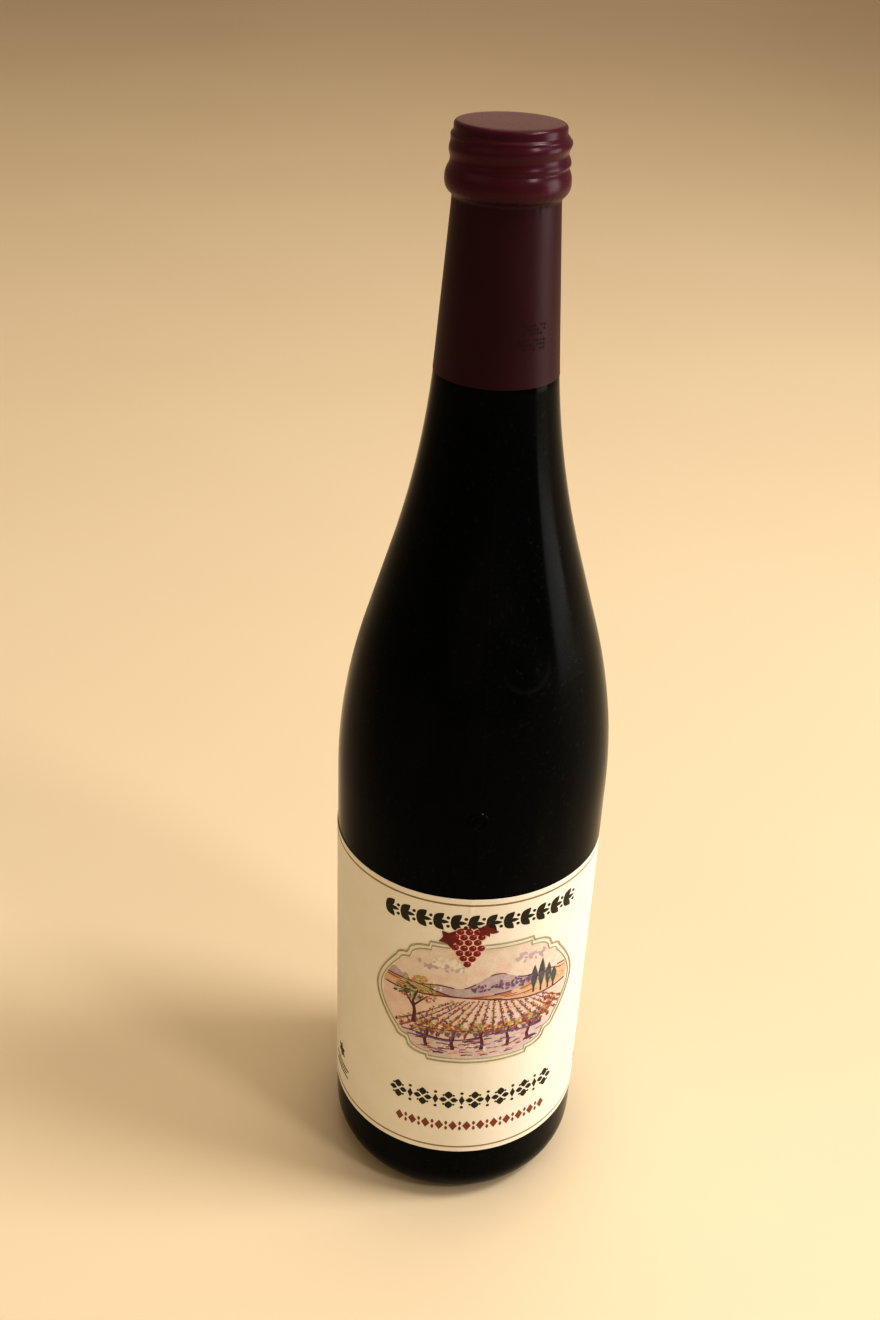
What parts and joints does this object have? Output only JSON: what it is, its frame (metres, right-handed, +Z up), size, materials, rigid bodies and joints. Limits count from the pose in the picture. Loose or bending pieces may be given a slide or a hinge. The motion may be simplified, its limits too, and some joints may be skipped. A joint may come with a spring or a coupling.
{
  "type": "wine bottle",
  "caption": "Slender near-black glass bottle with a long sloping neck, a paper label wrapped round its body and a dark red capsule shrunk over its screw closure; full and shut.",
  "frame": {"origin": "centre of the ring on which the bottle stands, on the surface under it", "axes": "+Z up along the bottle's axis, -Y towards the middle of the label's front, +X to the right of the label as it is looked at"},
  "size_m": [0.078, 0.0779, 0.316],
  "materials": {
    "dark_glass": "glossy, near black with its filling behind it",
    "label_paper": "cream paper, faint sheen",
    "capsule_film": "dark red, satin"
  },
  "bodies": {
    "root": {"bottle": "dark_glass", "label": "label_paper", "capsule": "capsule_film"}
  },
  "joints": []
}
